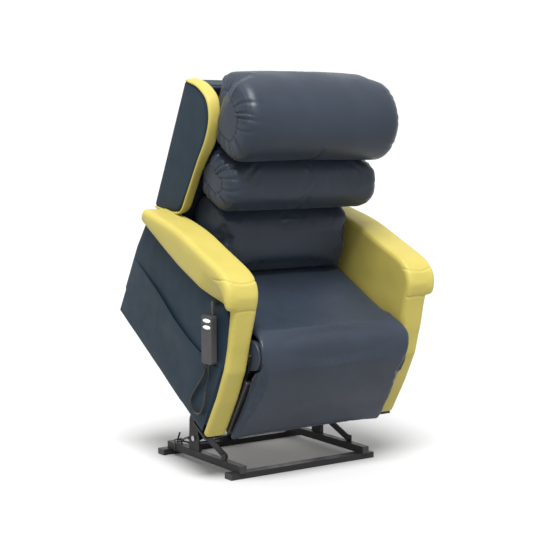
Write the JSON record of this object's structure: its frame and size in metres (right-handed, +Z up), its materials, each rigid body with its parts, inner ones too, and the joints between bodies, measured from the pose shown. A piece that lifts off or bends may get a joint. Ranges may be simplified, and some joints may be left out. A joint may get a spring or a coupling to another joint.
{
  "type": "lift recliner chair",
  "caption": "Riser recliner armchair on a steel lift base, shown raised and tilted forward, with winged waterfall back, padded arms, legrest and corded handset.",
  "frame": {"origin": "on the floor, at the centre of the chair's overall plan rectangle in the raised pose", "axes": "+X to the sitter's left, +Y to the rear, +Z up; the sitter faces -Y"},
  "size_m": [0.842, 0.7824, 1.3324],
  "materials": {
    "steel_black": "satin",
    "steel_zinc": "satin",
    "plastic_black": "matte",
    "board": "matte",
    "vinyl_blue": "satin",
    "cushion_blue": "satin",
    "vinyl_yellow": "satin",
    "pad_yellow": "satin",
    "handset_grey": "satin",
    "button_grey": "satin",
    "wheel_rubber": "matte",
    "cord_black": "satin"
  },
  "bodies": {
    "base": {"base_crossbars": "steel_black", "base_rails": "steel_black", "base_end_caps": "plastic_black", "lift_posts": "steel_black", "base_braces": "steel_black", "lift_actuator_foot": "steel_black", "lift_pivot_bolts": "steel_zinc", "motor_cable": "cord_black", "motor_cable_fittings": "plastic_black"},
    "lower_links": {"lower_links": "steel_black", "lift_torque_tube": "steel_black"},
    "upper_links": {"upper_links": "steel_black"},
    "lift_actuator": {"lift_actuator_motor": "plastic_black"},
    "lift_rod": {"lift_actuator_rod": "steel_zinc"},
    "chair": {"chassis_rails": "steel_black", "chassis_crossbars": "steel_black", "chair_brackets": "steel_black", "actuator_lugs": "steel_black", "chair_pins": "steel_zinc", "seat_deck": "board", "control_box": "plastic_black", "chassis_hinge_plates": "steel_black", "arm_outer_panel_left": "vinyl_blue", "arm_outer_panel_right": "vinyl_blue", "arm_boards": "board", "arm_front_panel_left": "vinyl_yellow", "arm_front_panel_right": "vinyl_yellow", "arm_pad_left": "pad_yellow", "arm_pad_right": "pad_yellow", "arm_pockets": "vinyl_blue", "wheel_brackets": "steel_black", "seat_cushion": "cushion_blue", "handset": "handset_grey", "handset_strap": "plastic_black", "handset_cord_glands": "plastic_black", "handset_curly_cord": "cord_black", "handset_lead": "cord_black"},
    "wheel_left": {"rear_wheel_left": "wheel_rubber"},
    "wheel_right": {"rear_wheel_right": "wheel_rubber"},
    "back": {"back_board": "board", "outer_back": "vinyl_blue", "wing_left": "vinyl_blue", "wing_right": "vinyl_blue", "wing_band_left": "vinyl_yellow", "wing_band_right": "vinyl_yellow", "head_cushion": "cushion_blue", "middle_cushion": "cushion_blue", "lower_cushion": "cushion_blue", "back_hinge_plates": "steel_black", "recline_lever": "steel_black"},
    "recline_actuator": {"recline_actuator_motor": "plastic_black"},
    "recline_rod": {"recline_actuator_rod": "steel_zinc"},
    "legrest": {"legrest_board": "board", "legrest_pad": "cushion_blue", "legrest_arms": "steel_black"},
    "legrest_actuator": {"legrest_actuator_motor": "plastic_black"},
    "legrest_rod": {"legrest_actuator_rod": "steel_zinc"},
    "button_upper": {"handset_button_upper": "button_grey"},
    "button_lower": {"handset_button_lower": "button_grey"}
  },
  "joints": [
    {"name": "lift", "type": "hinge", "parent": "base", "child": "lower_links", "pos_m": [0, 0.09094, 0.085], "axis": [1, 0, 0], "range_deg": [0, 31.3]},
    {"name": "chair_tilt", "type": "hinge", "parent": "lower_links", "child": "chair", "pos_m": [0, -0.13477, 0.19897], "axis": [1, 0, 0], "range_deg": [-62.85, 0.05]},
    {"name": "upper_link_swing", "type": "hinge", "parent": "base", "child": "upper_links", "pos_m": [0, 0.08154, 0.1651], "axis": [1, 0, 0], "range_deg": [-0.05, 35.5]},
    {"name": "lift_actuator_swing", "type": "hinge", "parent": "base", "child": "lift_actuator", "pos_m": [0, 0.21994, 0.06], "axis": [1, 0, 0], "range_deg": [-0.05, 21.92]},
    {"name": "lift_rod_slide", "type": "slide", "parent": "lift_actuator", "child": "lift_rod", "axis": [0, -0.8488, 0.5287], "range_m": [-0.06002, 0.00005]},
    {"name": "back_recline", "type": "hinge", "parent": "chair", "child": "back", "pos_m": [0, 0.16228, 0.7305], "axis": [-1, 0, 0], "range_deg": [0, 35]},
    {"name": "recline_actuator_swing", "type": "hinge", "parent": "chair", "child": "recline_actuator", "pos_m": [0.09, -0.01709, 0.45287], "axis": [1, 0, 0], "range_deg": [-2.05, 0.05]},
    {"name": "recline_rod_slide", "type": "slide", "parent": "recline_actuator", "child": "recline_rod", "axis": [0, 0.8233, 0.5676], "range_m": [-0.08115, 0.00005]},
    {"name": "legrest_lift", "type": "hinge", "parent": "chair", "child": "legrest", "pos_m": [0, -0.31528, 0.42847], "axis": [-1, 0, 0], "range_deg": [0, 75]},
    {"name": "legrest_actuator_swing", "type": "hinge", "parent": "chair", "child": "legrest_actuator", "pos_m": [0.291, -0.05831, 0.42655], "axis": [1, 0, 0], "range_deg": [-5.35, 0.05]},
    {"name": "legrest_rod_slide", "type": "slide", "parent": "legrest_actuator", "child": "legrest_rod", "axis": [0, -0.9809, -0.1946], "range_m": [-0.00005, 0.05965]},
    {"name": "rear_wheel_left_roll", "type": "hinge", "parent": "chair", "child": "wheel_left", "pos_m": [0.352, 0.32852, 0.4688], "axis": [1, 0, 0], "continuous": true},
    {"name": "rear_wheel_right_roll", "type": "hinge", "parent": "chair", "child": "wheel_right", "pos_m": [-0.352, 0.32852, 0.4688], "axis": [1, 0, 0], "continuous": true},
    {"name": "handset_button_upper_rock", "type": "hinge", "parent": "chair", "child": "button_upper", "pos_m": [-0.416, -0.24506, 0.541], "axis": [0, 0, 1], "range_deg": [-4, 4], "stiffness_Nm_per_rad": 0.3},
    {"name": "handset_button_lower_rock", "type": "hinge", "parent": "chair", "child": "button_lower", "pos_m": [-0.416, -0.24506, 0.52], "axis": [0, 0, 1], "range_deg": [-4, 4], "stiffness_Nm_per_rad": 0.3}
  ],
  "couplings": [
    {"joint": "chair_tilt", "follows": "lift", "ratio": -2.0064},
    {"joint": "upper_link_swing", "follows": "lift", "ratio": 1.1329},
    {"joint": "lift_actuator_swing", "follows": "lift", "ratio": 0.69866},
    {"joint": "lift_rod_slide", "follows": "lift", "m_per_rad": -0.10978},
    {"joint": "recline_actuator_swing", "follows": "back_recline", "ratio": -0.058057},
    {"joint": "recline_rod_slide", "follows": "back_recline", "m_per_rad": -0.13274},
    {"joint": "legrest_actuator_swing", "follows": "legrest_lift", "ratio": -0.070616},
    {"joint": "legrest_rod_slide", "follows": "legrest_lift", "m_per_rad": 0.045534}
  ]
}
